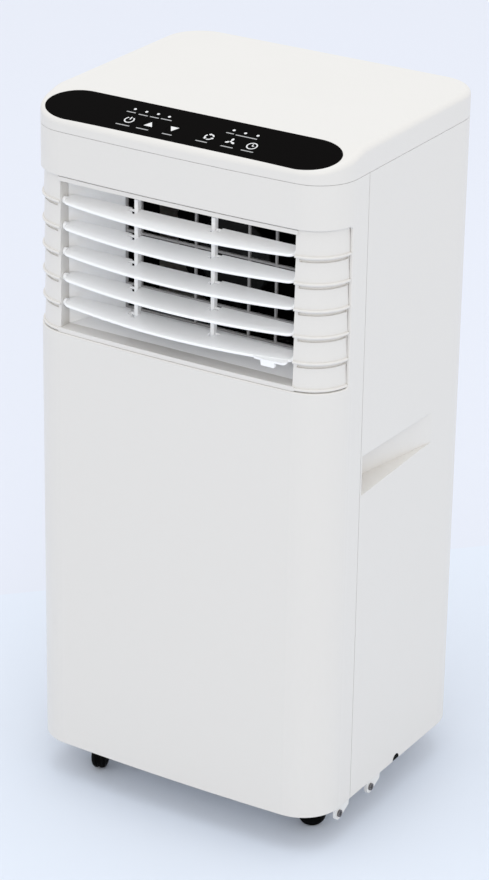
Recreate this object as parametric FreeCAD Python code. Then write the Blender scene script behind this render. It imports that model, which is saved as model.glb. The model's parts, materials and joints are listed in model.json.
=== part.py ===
import FreeCAD, Part
import math
import os

# Portable air conditioner: a floor-standing cabinet on four casters.
# Frame: origin on the floor under the centre of the overall box, +Z up, the air outlet faces -Y.
# Every length is in millimetres, every angle in degrees.

V = FreeCAD.Vector
X, Y, Z = V(1, 0, 0), V(0, 1, 0), V(0, 0, 1)

# ---------------------------------------------------------------- driving dimensions
WIDTH = 292.0            # cabinet, side to side
HEIGHT = 620.0           # floor to the top face
OVERALL_DEPTH = 330.0    # front of the louvres to the end of the exhaust collar
SHELL_DEPTH = 247.0      # front face to back face of the cabinet itself
SHELL_BOTTOM = 35.5      # lower edge of the casing above the floor
CORNER_R = 36.0          # vertical corners
FRONT_BOW = 2.3          # the front face bulges this much between its corners
WALL = 2.5               # moulded casing thickness
SEAM_GAP = 0.5           # visible joint between front panel and rear housing
TOP_SEAM_GAP = 0.3       # visible joint under the top cover

TONGUE_ZS = (90.0, 190.0, 390.0, 500.0)     # snap tongues behind the vertical seams
TONGUE_HALF, TONGUE_ROOT, TONGUE_REACH = 9.0, 12.0, 8.0

LOUVRE_REACH = 7.9       # louvres stand this far in front of the corner tangent plane
FRONT_Y = -OVERALL_DEPTH / 2 + LOUVRE_REACH
BACK_Y = FRONT_Y + SHELL_DEPTH
SEAM_Y = FRONT_Y + 55.4  # vertical joint between front panel and rear housing
SEAM_Z = 597.0           # horizontal joint under the top cover
HALF = WIDTH / 2

# air outlet
CUT_TOP, CUT_BOTTOM = 559.3, 422.7   # window in the front panel that takes the grille frame
CUT_END_Y = FRONT_Y + 32.0           # the window wraps the corners and ends here on each side
CUT_EDGE_R = 1.0                     # rounding of the window's outer edge
TOP_GAP, LOW_GAP = 0.9, 0.3          # joints between the window and the grille frame
OPEN_TOP, OPEN_BOTTOM = 554.8, 426.9
OPEN_HALF = 111.5                    # half width of the outlet opening
LOUVRE_COUNT = 5
LOUVRE_PITCH = 22.3
TOP_LIP_Z = 535.0                    # first moulded lip, level with the first louvre's front edge
REVEAL_DEPTH = 14.0
BAND_TOP_INSET, BAND_LOW_INSET = 3.0, 2.0   # each band leans outward between these insets
LIP_INSET, LIP_HEIGHT, LIP_EDGE_R = 0.5, 2.4, 1.1
GROOVE_INSET, GROOVE_HEIGHT = 4.7, 2.6      # shadow groove under each lip

# louvres
BLADE_HALF = 110.6
BLADE_T = 2.6
BLADE_FRONT_MID, BLADE_FRONT_END = 16.0, 8.0   # reach in front of the pivot, middle and ends
BLADE_REAR = 10.0                    # reach behind the pivot
BLADE_CORNER_R, BLADE_REAR_R = 7.5, 6.0         # front and rear corners in plan
BLADE_BOW_X = 98.0                   # the front edge's arc is measured out to here
PIVOT_Y = FRONT_Y + 8.0
REST_TILT = 8.0                      # front edges hang this much below level at rest
PIN_R, PIN_REACH = 2.0, 5.9
BOSS_R, BOSS_REACH = 3.2, 2.6          # shoulder around each pivot pin
LINK_X = (-44.5, 29.0)               # upright bars that tie the blades together
LINK_W, LINK_D = 3.6, 5.0
LINK_PIN_Y, LINK_PIN_R = 7.3, 1.1
NOTCH_HALF, NOTCH_DEPTH = 2.3, 10.0  # cut in each blade around a link bar
NOTCH_WING, WING_DEPTH = 4.5, 7.0    # the notch steps outwards beside the bar
TAB_BASE_X, TAB_GRIP_X = (77.0, 107.5), (85.0, 98.0)   # finger tab under the lowest blade
TAB_REACH, TAB_DROP = 13.0, 5.0
RUN_CLEAR = 0.05                     # radial clearance of every pin in its hole

# duct behind the louvres
THROAT_X = (-79.5, 90.0)
THROAT_Z = (436.0, 545.0)
THROAT_Y = FRONT_Y + 50.0
DUCT_WALL = 2.0
GUARD_X = (-64.5, -11.3, 39.7, 65.5)
GUARD_Z = (457.5, 504.0)
GUARD_BAR = 2.0

# sloping control panel
SLOPE = 14.25
SLOPE_BREAK_Y = FRONT_Y + 47.6       # the flat top ends here and slopes down to the front
SLOPE_BLEND_R = 40.0     # soft bend where the flat top turns down
TOP_EDGE_R = 5.5         # rounding around the top's rim
LENS_L, LENS_W, LENS_T = 273.5, 44.8, 2.5
LENS_END = 30.0                      # length of each half-ellipse end
SEAT_END, SEAT_SIDE = 14.0, 6.0      # ledge that carries the lens, at its ends and along its sides
LENS_CENTRE_Y = FRONT_Y + 23.7
BUTTON_R = 5.6
BUTTON_GAP = 0.3
BUTTON_X = {"power": -54.6, "up": -35.0, "down": -13.0, "mode": 20.9, "fan": 41.0, "timer": 60.5}
BUTTON_ROW = -5.6                    # button row below the lens centre line

# hand grips, one pocket in each side
GRIP_FRONT, GRIP_REAR = SEAM_Y + SEAM_GAP, FRONT_Y + 175.0
GRIP_LOW_FRONT, GRIP_HIGH_FRONT = 317.0, 353.3
GRIP_LOW_REAR, GRIP_HIGH_REAR = 322.5, 350.2
GRIP_DEPTH = 21.0

# back of the cabinet
BULGE_HALF, BULGE_Z0, BULGE_Z1, BULGE_DEPTH = 116.0, 62.0, 590.0, 34.0
BULGE_Y = BACK_Y + BULGE_DEPTH
BULGE_CORNER_R, BULGE_EDGE_R = 22.0, 9.0
GRILLE_HALF = 98.0
UPPER_GRILLE_Z = (404.0, 578.0)
LOWER_GRILLE_Z = (76.0, 204.0)
EXHAUST_Z, EXHAUST_R, EXHAUST_WALL = 310.0, 72.0, 3.0
COLLAR_END_Y = OVERALL_DEPTH / 2
SERVICE_X, SERVICE_Z = 98.0, 226.0   # upper drain on one side, cord gland on the other
SPOUT_R, SPOUT_BORE_R, SPOUT_L = 8.0, 5.0, 14.0
LOWER_DRAIN_Z = 49.0
SIDE_NOTCH_Y, SIDE_NOTCH_R = FRONT_Y + 134.7, 5.5    # half-round notch in each side's lower edge
NOTCH_FLANGE_R = 6.8                 # inner flange of the rubber plug that fills the notch

# running gear
CASTER_X, CASTER_FRONT_Y, CASTER_REAR_Y = 100.0, FRONT_Y + 46.9, 58.0
WHEEL_R, WHEEL_T = 12.0, 5.0
WHEEL_CROWN_R, WHEEL_INNER_R = 4.2, 0.6     # roundings of each disc's outer and inner edge
WHEEL_INSIDE = 1.3                   # half the space between the two discs of a caster
AXLE_R, STEM_R, STEM_TOP = 2.0, 4.0, 46.0
PLATE_Z, PLATE_R = 29.0, 11.0
CASTER_TRAIL = 12.3
CASTER_ANGLES = {"front_left": -72.0, "front_right": 31.4, "rear_left": 205.0, "rear_right": 150.0}
PAN_BOTTOM, PAN_HEIGHT = 36.0, 22.0
LUG_YS = (FRONT_Y + 42.4, FRONT_Y + 95.5)            # screw lugs under each side
LUG_Z, LUG_R, LUG_TAIL = 26.4, 5.8, 19.0
LUG_T, LUG_FACE = 2.6, HALF - 2.9
SCREW_R, SCREW_HEAD = 3.2, 1.6
SCREW_SLOT_HALF, SCREW_SLOT_W = 2.2, 1.0

# blowers
UPPER_WHEEL_R, UPPER_WHEEL_W = 60.0, 52.0
UPPER_FAN = V(0, -14.0, 484.0)       # back plate of the upper wheel, axis along +Y
LOWER_WHEEL_R, LOWER_WHEEL_W = 62.0, 54.0
LOWER_FAN = V(26.0, -42.0, 262.0)    # back plate of the lower wheel, axis along -X
HUB_R, HUB_L = 12.0, 18.0
VANE_CHORD, VANE_T, VANE_ANGLE = 15.0, 1.2, 25.0
SHAFT_R, MOTOR_R = 4.0, 36.0
UPPER_MOTOR_Y, UPPER_MOTOR_L = -26.0, 40.0
LOWER_MOTOR_X, LOWER_MOTOR_L = 40.0, 44.0
MOTOR_FOOT_HALF = 4.0

# refrigeration circuit
DECK_Z = 380.0                       # partition between the cold and the warm half
FIN_PITCH, FIN_T = 7.0, 0.4
TUBE_R = 4.5
COIL_HALF, COIL_Y, COIL_PITCH = 100.0, 74.0, 22.0
COMPRESSOR = V(-88.0, -52.0, 52.0)
COMPRESSOR_R, COMPRESSOR_H = 38.0, 175.0
FOOT_RADIUS, FOOT_COUNT = 44.5, 3
ACCUMULATOR = V(-92.0, 14.0, 78.0)
ACCUMULATOR_R, ACCUMULATOR_H = 17.0, 110.0

# electrics
CASE_X, CASE_Y, CASE_Z = (60.0, 132.0), (FRONT_Y + 10.0, FRONT_Y + 52.0), (225.0, 365.0)
BOARD_Y = CASE_Y[0] + 12.0
BOARD_T = 1.6
DISPLAY_HALF, LED_ROW = 95.0, 9.6
LED_X = (-59.4, -47.8, -37.0, -26.0, 34.2, 45.4, 57.2)


# ---------------------------------------------------------------- helpers
def box(x0, x1, y0, y1, z0, z1):
    return Part.makeBox(x1 - x0, y1 - y0, z1 - z0, V(x0, y0, z0))


def rod(radius, start, axis, length):
    return Part.makeCylinder(radius, length, start, axis)


def ring(outer, inner, start, axis, length):
    return rod(outer, start, axis, length).cut(rod(inner, start - axis, axis, length + 2))


def fuse(shapes):
    first, rest = shapes[0], shapes[1:]
    return first.multiFuse(rest).removeSplitter() if rest else first


def is_along(edge, axis):
    return isinstance(edge.Curve, Part.Line) and abs(edge.Curve.Direction.dot(axis)) > 0.999


def parallel_edges(shape, axis, keep=lambda centre: True):
    """Straight edges of a shape that run along an axis and pass a test of their midpoint."""
    return [edge for edge in shape.Edges if is_along(edge, axis) and keep(edge.CenterOfMass)]


def round_box(x0, x1, y0, y1, z0, z1, radius, axis=Z):
    """A box with the four edges along one axis rounded."""
    block = box(x0, x1, y0, y1, z0, z1)
    return block.makeFillet(radius, parallel_edges(block, axis))


def outline(inset=0.0):
    """The cabinet's plan outline: a rounded rectangle whose front is a shallow arc."""
    corner = CORNER_R - inset
    cx, front_c, back_c = HALF - CORNER_R, FRONT_Y + CORNER_R, BACK_Y - CORNER_R
    bow_r = (cx ** 2 + (FRONT_BOW + CORNER_R) ** 2 - CORNER_R ** 2) / (2 * FRONT_BOW)
    start = math.degrees(math.asin(cx / (bow_r - CORNER_R)))

    def at(x, y, degrees):
        a = math.radians(degrees)
        return V(x + corner * math.cos(a), y + corner * math.sin(a), 0)

    def corner_arc(x, y, a0, a1):
        return Part.Arc(at(x, y, a0), at(x, y, (a0 + a1) / 2), at(x, y, a1)).toShape()

    edges = [
        Part.Arc(at(-cx, front_c, 270 - start), V(0, FRONT_Y - FRONT_BOW + inset, 0),
                 at(cx, front_c, start - 90)).toShape(),
        corner_arc(cx, front_c, start - 90, 0),
        Part.LineSegment(at(cx, front_c, 0), at(cx, back_c, 0)).toShape(),
        corner_arc(cx, back_c, 0, 90),
        Part.LineSegment(at(cx, back_c, 90), at(-cx, back_c, 90)).toShape(),
        corner_arc(-cx, back_c, 90, 180),
        Part.LineSegment(at(-cx, back_c, 180), at(-cx, front_c, 180)).toShape(),
        corner_arc(-cx, front_c, 180, 270 - start),
    ]
    return Part.Wire(edges)


def prism(wire, z0, z1):
    body = Part.Face(wire).extrude(V(0, 0, z1 - z0))
    body.translate(V(0, 0, z0))
    return body


def shell(outer, inner, z0, z1):
    """A closed band of casing between two insets of the plan outline."""
    return prism(outline(outer), z0, z1).cut(prism(outline(inner), z0 - 1, z1 + 1))


def slab(points, axis, length):
    """A prism from a polygon."""
    wire = Part.makePolygon(points + [points[0]])
    return Part.Face(wire).extrude(axis * length)


def moved(shape, position, rotation):
    """A copy of a shape, turned about the origin and then carried to a position."""
    placed = shape.copy()
    placed.Placement = FreeCAD.Placement(position, rotation).multiply(placed.Placement)
    return placed


def mirrored(shape):
    return shape.mirror(V(0, 0, 0), X)


def on_slope(shape):
    """Place a shape drawn flat around the origin onto the sloping panel seat."""
    centre_z = HEIGHT - (SLOPE_BREAK_Y - LENS_CENTRE_Y) * math.tan(math.radians(SLOPE))
    return moved(shape, V(0, LENS_CENTRE_Y, centre_z), FreeCAD.Rotation(X, SLOPE))


def save(name, *shapes):
    solids = [solid for shape in shapes for solid in shape.Solids]
    for solid in solids:
        if not solid.isValid() or solid.Volume < 1:
            raise ValueError("bad solid in " + name)
    result = solids[0] if len(solids) == 1 else Part.makeCompound(solids)
    result.exportStep("parts/" + name + ".step")
    print(name, len(solids), round(result.Volume / 1000, 2), "cm3")


# ---------------------------------------------------------------- casing
def front_panel():
    solid = prism(outline(), SHELL_BOTTOM, SEAM_Z - TOP_SEAM_GAP / 2)
    solid = solid.common(box(-HALF - 1, HALF + 1, FRONT_Y - 20, SEAM_Y - SEAM_GAP / 2, 0, HEIGHT))
    window = round_box(-HALF - 5, HALF + 5, FRONT_Y - 40, CUT_END_Y, CUT_BOTTOM, CUT_TOP, 3.0, X)
    solid = solid.cut(window)
    rim = [edge for edge in solid.Edges if edge.BoundBox.ZMin > CUT_BOTTOM - 0.1
           and edge.BoundBox.ZMax < CUT_TOP + 0.1 and not is_along(edge, X)]
    panel = solid.makeFillet(CUT_EDGE_R, rim).cut(prism(outline(WALL), 0, HEIGHT))
    # snap tongues that reach behind the rear housing along both vertical joints
    tongues = []
    for z in TONGUE_ZS:
        tongue = box(HALF - 2 * WALL - 0.2, HALF - WALL, SEAM_Y - TONGUE_ROOT, SEAM_Y + TONGUE_REACH,
                     z - TONGUE_HALF, z + TONGUE_HALF)
        tongues += [tongue, mirrored(tongue)]
    return fuse([panel] + tongues)


def grip_pocket(grow):
    """The wedge-shaped hollow of the right-hand grip, or its lining when grown outwards."""
    low, high = -grow, grow
    y0, y1 = GRIP_FRONT + 2.0 - grow, GRIP_REAR + 4 * grow
    inner = HALF - GRIP_DEPTH - grow
    mouth = HALF + (0 if grow else 5)
    front = [V(mouth, y0, GRIP_LOW_FRONT + low), V(mouth, y0, GRIP_HIGH_FRONT + high),
             V(inner, y0, GRIP_HIGH_FRONT + high), V(inner, y0, GRIP_LOW_FRONT + low + 6)]
    back = HALF - grow
    rear = [V(mouth, y1, GRIP_LOW_REAR + low), V(mouth, y1, GRIP_HIGH_REAR + high),
            V(back, y1, GRIP_HIGH_REAR + high), V(back, y1, GRIP_LOW_REAR + low)]
    wires = [Part.makePolygon(loop + [loop[0]]) for loop in (front, rear)]
    return Part.makeLoft(wires, True, True)


def rear_housing():
    wrap = shell(0, WALL, SHELL_BOTTOM, SEAM_Z - TOP_SEAM_GAP / 2)
    wrap = wrap.common(box(-HALF - 1, HALF + 1, SEAM_Y + SEAM_GAP / 2, BACK_Y + 1, 0, HEIGHT))
    bulge = round_box(-BULGE_HALF, BULGE_HALF, BACK_Y - WALL, BULGE_Y, BULGE_Z0, BULGE_Z1,
                      BULGE_CORNER_R, Y)
    rim = [edge for edge in bulge.Edges if edge.BoundBox.YMin > BULGE_Y - 0.1]
    bulge = bulge.makeFillet(BULGE_EDGE_R, rim)
    hollow = round_box(-BULGE_HALF + WALL, BULGE_HALF - WALL, BACK_Y - 10, BULGE_Y - WALL,
                       BULGE_Z0 + WALL, BULGE_Z1 - WALL, BULGE_CORNER_R - WALL, Y)
    inner_rim = [edge for edge in hollow.Edges if edge.BoundBox.YMin > BULGE_Y - WALL - 0.1]
    hollow = hollow.makeFillet(BULGE_EDGE_R - WALL, inner_rim)
    lining = grip_pocket(WALL).common(prism(outline(0), 200, 450))
    lining = lining.common(box(0, HALF, SEAM_Y + SEAM_GAP / 2, BACK_Y, 200, 450))
    housing = fuse([wrap, bulge, lining, mirrored(lining)])
    spout = rod(SPOUT_R, V(SERVICE_X, BULGE_Y - SPOUT_L, SERVICE_Z), Y, SPOUT_L - WALL / 2)
    housing = fuse([housing.cut(hollow), spout])
    pocket = grip_pocket(0)
    cutters = [pocket, mirrored(pocket)]
    for z0, z1 in (UPPER_GRILLE_Z, LOWER_GRILLE_Z):
        cutters.append(box(-GRILLE_HALF, GRILLE_HALF, BULGE_Y - 5, BULGE_Y + 5, z0, z1))
    cutters.append(rod(EXHAUST_R + 2, V(0, BULGE_Y - 8, EXHAUST_Z), Y, 16))
    cutters.append(rod(SPOUT_BORE_R, V(SERVICE_X, BULGE_Y - 20, SERVICE_Z), Y, 40))
    cutters.append(rod(SPOUT_R, V(-SERVICE_X, BULGE_Y - 8, SERVICE_Z), Y, 16))
    cutters.append(rod(SPOUT_R + 1.0, V(0, BACK_Y - 8, LOWER_DRAIN_Z), Y, 16))
    for side in (-1, 1):
        cutters.append(rod(SIDE_NOTCH_R, V(side * HALF - 8, SIDE_NOTCH_Y, SHELL_BOTTOM), X, 16))
    return housing.cut(Part.makeCompound(cutters))


def slope_cutter(drop):
    """Everything above the sloping front of the top, lowered by drop."""
    y0 = SLOPE_BREAK_Y
    reach = y0 - (FRONT_Y - 30)
    fall = reach * math.tan(math.radians(SLOPE))
    top = HEIGHT - drop
    return slab([V(-HALF - 5, y0, top), V(-HALF - 5, y0 - reach, top - fall),
                 V(-HALF - 5, y0 - reach, top + 40), V(-HALF - 5, y0, top + 40)], X, WIDTH + 10)


def lens_wire(grow):
    """The control panel's outline: straight front and back, half-ellipse ends."""
    end, half_w = LENS_END + grow, LENS_W / 2 + grow
    straight = LENS_L / 2 - LENS_END

    def half_ellipse(sign):
        curve = Part.Ellipse(V(sign * straight, 0, 0), end, half_w)
        first = -math.pi / 2 if sign > 0 else math.pi / 2
        return Part.ArcOfEllipse(curve, first, first + math.pi).toShape()

    across = [Part.LineSegment(V(-straight, y, 0), V(straight, y, 0)).toShape() for y in (-half_w, half_w)]
    return Part.Wire(Part.__sortEdges__([half_ellipse(1), half_ellipse(-1)] + across))


def top_cover():
    cap = prism(outline(0), SEAM_Z + TOP_SEAM_GAP / 2, HEIGHT).cut(slope_cutter(0))
    crease = [e for e in parallel_edges(cap, X) if e.CenterOfMass.z > HEIGHT - 0.1]
    crease = [e for e in crease if e.CenterOfMass.y < 0]
    cap = cap.makeFillet(SLOPE_BLEND_R, crease)
    rim = [e for e in cap.Edges if e.CenterOfMass.z > SEAM_Z + 8 and not is_along(e, Z)]
    rim = [e for e in rim if not (isinstance(e.Curve, Part.Line) and e.Length > WIDTH - 1)]
    cap = cap.makeFillet(TOP_EDGE_R, rim)
    hollow = prism(outline(WALL), SEAM_Z - 5, HEIGHT - WALL).cut(slope_cutter(5.5))
    seat = Part.Face(lens_wire(0.25)).extrude(V(0, 0, 10))
    seat.translate(V(0, 0, -LENS_T - 0.1))
    window_x, window_y = LENS_L / 2 - SEAT_END, LENS_W / 2 - SEAT_SIDE
    window = round_box(-window_x, window_x, -window_y, window_y, -12, 5, 8)
    cap = cap.cut(hollow).cut(on_slope(seat)).cut(on_slope(window))
    # locating rib that drops inside the casing below
    lip = shell(WALL + 0.3, WALL + 2.3, SEAM_Z - 6, SEAM_Z + 3)
    root = shell(WALL - 0.5, WALL + 1.0, SEAM_Z + 0.5, SEAM_Z + 3)
    joint = box(-HALF, HALF, SEAM_Y - 14, SEAM_Y + 14, SEAM_Z - 10, SEAM_Z)
    return fuse([cap, root, lip.cut(joint)])


def control_panel():
    lens = Part.Face(lens_wire(0)).extrude(V(0, 0, LENS_T))
    lens.translate(V(0, 0, -LENS_T))
    holes = [rod(BUTTON_R + BUTTON_GAP, V(x, BUTTON_ROW, -LENS_T - 1), Z, LENS_T + 2)
             for x in BUTTON_X.values()]
    return on_slope(lens.cut(Part.makeCompound(holes)))


def button(x):
    cap = rod(BUTTON_R, V(x, BUTTON_ROW, -LENS_T - 1.0), Z, LENS_T + 1.0)
    stem = rod(1.8, V(x, BUTTON_ROW, -LENS_T - 3.0), Z, 2.2)
    return on_slope(fuse([cap, stem]))


def display_board():
    """The circuit board under the lens, with a switch below each button and a lamp for each dot."""
    depth, switch, lamp_r, lamp_h = LENS_T + 6.0, 3.0, 1.5, 4.0
    parts = [box(-DISPLAY_HALF, DISPLAY_HALF, -14, 13.5, -depth - BOARD_T, -depth)]
    for x in BUTTON_X.values():
        parts.append(box(x - switch, x + switch, BUTTON_ROW - switch, BUTTON_ROW + switch,
                         -depth, -depth + 2))
    for x in LED_X:
        parts.append(rod(lamp_r, V(x, LED_ROW, -depth), Z, lamp_h))
    return on_slope(fuse(parts))


# ---------------------------------------------------------------- air outlet
def lip_z(index):
    return TOP_LIP_Z - index * LOUVRE_PITCH


def pivot_z(index):
    return lip_z(index) + 2.0


def side_band(z_top, z_bottom, groove):
    """One clapboard band: it leans outward going down, from a shadow groove to a rounded lip."""
    z_lip = z_bottom + 0.6
    z_start = z_top - groove
    wires = []
    for inset, z in ((BAND_TOP_INSET - 0.1, z_start), (BAND_LOW_INSET, z_lip + LIP_HEIGHT / 2)):
        wire = outline(inset)
        wire.translate(V(0, 0, z))
        wires.append(wire)
    leaning = Part.makeLoft(wires, True, True)
    bead = prism(outline(LIP_INSET), z_lip, z_lip + LIP_HEIGHT)
    bead = bead.makeFillet(LIP_EDGE_R, [e for e in bead.Edges if not is_along(e, Z)])
    band = fuse([leaning, bead])
    return band.cut(prism(outline(GROOVE_INSET), z_bottom - 1, z_top + 1))


def grille_frame():
    back_y = CUT_END_Y + 4.0
    z_low, z_high = CUT_BOTTOM + LOW_GAP, CUT_TOP - TOP_GAP
    plate = shell(BAND_TOP_INSET, 5.5, CUT_BOTTOM - 4.5, CUT_TOP + 4.5)
    levels = [z_high] + [lip_z(i) for i in range(LOUVRE_COUNT)] + [z_low]
    bands, grooves = [], []
    for i in range(len(levels) - 1):
        groove = GROOVE_HEIGHT if i else 0
        bands.append(side_band(levels[i], levels[i + 1], groove))
        if groove:
            grooves.append(shell(LIP_INSET - 2, GROOVE_INSET, levels[i] - groove, levels[i] + 0.8))
    cheek = round_box(OPEN_HALF, HALF + 1, FRONT_Y - 40, CUT_END_Y - LOW_GAP, z_low, z_high, 2.8, X)
    cheeks = Part.makeCompound([cheek, mirrored(cheek)])
    bands = [band.common(cheeks) for band in bands]
    reach = box(-HALF, HALF, FRONT_Y - 20, back_y, CUT_BOTTOM - 10, CUT_TOP + 10)
    plate = plate.common(reach)
    plate = plate.cut(Part.makeCompound([groove.common(cheeks) for groove in grooves]))
    rails = []
    for z0, z1, inset in ((OPEN_TOP, z_high, 1.4), (z_low, OPEN_BOTTOM, 0.8)):
        rail = shell(inset, 4.0, z0, z1)
        rails.append(rail.common(box(-OPEN_HALF - 2, OPEN_HALF + 2, FRONT_Y - 20, FRONT_Y + 20, z0, z1)))
    side = 3.0
    reveal = box(-OPEN_HALF - side, OPEN_HALF + side, FRONT_Y - 10, FRONT_Y + REVEAL_DEPTH,
                 OPEN_BOTTOM - side, OPEN_TOP + side).common(prism(outline(BAND_TOP_INSET), 400, 600))
    frame = fuse([plate, reveal] + rails + bands)
    opening = box(-OPEN_HALF, OPEN_HALF, FRONT_Y - 20, FRONT_Y + REVEAL_DEPTH + 5, OPEN_BOTTOM, OPEN_TOP)
    frame = frame.cut(opening)
    bores = [rod(PIN_R + RUN_CLEAR, V(-OPEN_HALF - side - 1, PIVOT_Y, pivot_z(i)), X,
                 2 * (OPEN_HALF + side + 1)) for i in range(LOUVRE_COUNT)]
    return frame.cut(Part.makeCompound(bores))


def louvre(index):
    """One blade on its end pins, drawn level about its pivot and then tilted to rest."""
    bow = BLADE_FRONT_MID - BLADE_FRONT_END
    sweep_r = (BLADE_BOW_X ** 2 + bow ** 2) / (2 * bow)
    end_y = -BLADE_FRONT_MID + sweep_r - math.sqrt(sweep_r ** 2 - BLADE_HALF ** 2)
    front = Part.Arc(V(-BLADE_HALF, end_y, 0), V(0, -BLADE_FRONT_MID, 0), V(BLADE_HALF, end_y, 0)).toShape()
    rear = [V(BLADE_HALF, end_y, 0), V(BLADE_HALF, BLADE_REAR, 0),
            V(-BLADE_HALF, BLADE_REAR, 0), V(-BLADE_HALF, end_y, 0)]
    lines = [Part.LineSegment(rear[i], rear[i + 1]).toShape() for i in range(3)]
    blade = Part.Face(Part.Wire([front] + lines)).extrude(V(0, 0, BLADE_T))
    blade.translate(V(0, 0, -BLADE_T / 2))
    blade = blade.makeFillet(BLADE_CORNER_R, parallel_edges(blade, Z, lambda centre: centre.y < 0))
    rear_edges = parallel_edges(blade, Z, lambda centre: centre.y > BLADE_REAR - 0.1)
    blade = blade.makeFillet(BLADE_REAR_R, rear_edges)
    blade = blade.makeFillet(1.15, [e for e in blade.Edges if not is_along(e, Z) and e.Length > 1
                                    and abs(abs(e.CenterOfMass.z) - BLADE_T / 2) < 0.01])
    notches = []
    for x in LINK_X:
        notches.append(box(x - NOTCH_HALF, x + NOTCH_HALF, BLADE_REAR - NOTCH_DEPTH, BLADE_REAR + 1, -5, 5))
        near, far = sorted((x, x + math.copysign(NOTCH_HALF + NOTCH_WING, x)))
        notches.append(box(near, far, BLADE_REAR - WING_DEPTH, BLADE_REAR + 1, -5, 5))
    blade = blade.cut(Part.makeCompound(notches))
    pieces = [blade]
    for x in LINK_X:
        near, far = sorted((x - math.copysign(3.2, x), x + math.copysign(NOTCH_HALF + NOTCH_WING + 1, x)))
        pieces.append(rod(LINK_PIN_R, V(near, LINK_PIN_Y, 0), X, far - near))
    for side in (-1, 1):
        start = V(side * (BLADE_HALF - 2), 0, 0)
        pieces.append(rod(PIN_R, start, X * side, PIN_REACH))
        pieces.append(rod(BOSS_R, start, X * side, BOSS_REACH))
    if index == LOUVRE_COUNT - 1:
        # finger tab under the lowest blade
        (base0, base1), (grip0, grip1) = TAB_BASE_X, TAB_GRIP_X
        pieces.append(round_box(base0, base1, -TAB_REACH + 1, -4, -1, 1, 3.5))
        pieces.append(round_box(grip0, grip1, -TAB_REACH, -TAB_REACH + 4, -TAB_DROP, 1, 1.2))
    return moved(fuse(pieces), V(0, PIVOT_Y, pivot_z(index)), FreeCAD.Rotation(X, REST_TILT))


def link_bar(x):
    """The upright bar that ties the blades' rear edges together."""
    tilt = math.radians(REST_TILT)
    y = PIVOT_Y + LINK_PIN_Y * math.cos(tilt)
    rise = LINK_PIN_Y * math.sin(tilt)
    low = pivot_z(LOUVRE_COUNT - 1) + rise - 9.0
    half_w, half_d = LINK_W / 2, LINK_D / 2
    bar = round_box(x - half_w, x + half_w, y - half_d, y + half_d, low, OPEN_TOP - 6.3, 0.5)
    holes = [rod(LINK_PIN_R + RUN_CLEAR, V(x - 5, y, pivot_z(i) + rise), X, 10)
             for i in range(LOUVRE_COUNT)]
    return bar.cut(Part.makeCompound(holes))


def outlet_duct():
    """The funnel that carries air from the blower throat to the louvres."""
    mouth_y = FRONT_Y + REVEAL_DEPTH + 0.3

    def funnel(grow):
        def loop(x0, x1, y, z0, z1):
            p = [V(x0 - grow, y, z0 - grow), V(x1 + grow, y, z0 - grow),
                 V(x1 + grow, y, z1 + grow), V(x0 - grow, y, z1 + grow)]
            return Part.makePolygon(p + [p[0]])
        return Part.makeLoft([loop(-OPEN_HALF, OPEN_HALF, mouth_y, OPEN_BOTTOM, OPEN_TOP),
                              loop(*THROAT_X, THROAT_Y, *THROAT_Z)], True, True)
    return funnel(DUCT_WALL).cut(funnel(0))


def outlet_guard():
    """The finger guard across the throat: a thin frame with a few upright and level bars."""
    (x0, x1), (z0, z1), rim = THROAT_X, THROAT_Z, 1.5
    y0, y1 = THROAT_Y + 0.5, THROAT_Y + 0.5 + GUARD_BAR
    frame = box(x0 - DUCT_WALL, x1 + DUCT_WALL, y0, y1, z0 - DUCT_WALL, z1 + DUCT_WALL)
    frame = frame.cut(box(x0 + rim, x1 - rim, y0 - 1, y1 + 1, z0 + rim, z1 - rim))
    half = GUARD_BAR / 2
    bars = [box(x - half, x + half, y0, y1, z0, z1) for x in GUARD_X]
    bars += [box(x0, x1, y0, y1, z - half, z + half) for z in GUARD_Z]
    return fuse([frame] + bars)


# ---------------------------------------------------------------- blowers
def blower_wheel(radius, width, axis_start, axis, shaft_length, blades=28):
    """A squirrel-cage wheel built along +Z and then turned onto its axis; the shaft is part of it."""
    disc = rod(radius, V(0, 0, 0), Z, 2.0)
    hub = rod(HUB_R, V(0, 0, 0), Z, HUB_L)
    end_ring = ring(radius, radius - 5, V(0, 0, width - 3), Z, 3.0)
    shaft = rod(SHAFT_R, V(0, 0, -shaft_length), Z, shaft_length + 5)
    tip = radius - 1.5
    vanes = []
    for i in range(blades):
        vane = box(radius - VANE_CHORD, tip, -VANE_T / 2, VANE_T / 2, 1.0, width - 1.0)
        vane.rotate(V(tip, 0, 0), Z, VANE_ANGLE)
        vane.rotate(V(0, 0, 0), Z, i * 360.0 / blades)
        vanes.append(vane)
    wheel = fuse([disc, hub, end_ring, shaft] + vanes)
    return moved(wheel, axis_start, FreeCAD.Rotation(Z, axis))


def fan_motor(front, axis, length, foot):
    """A motor can whose bore carries the wheel's shaft, with its mounting foot."""
    can = rod(MOTOR_R, front, axis, length)
    can = can.makeFillet(3.0, [e for e in can.Edges if isinstance(e.Curve, Part.Circle)])
    motor = fuse([can, foot])
    return motor.cut(rod(SHAFT_R + RUN_CLEAR, front - axis, axis, length + 2))


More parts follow.
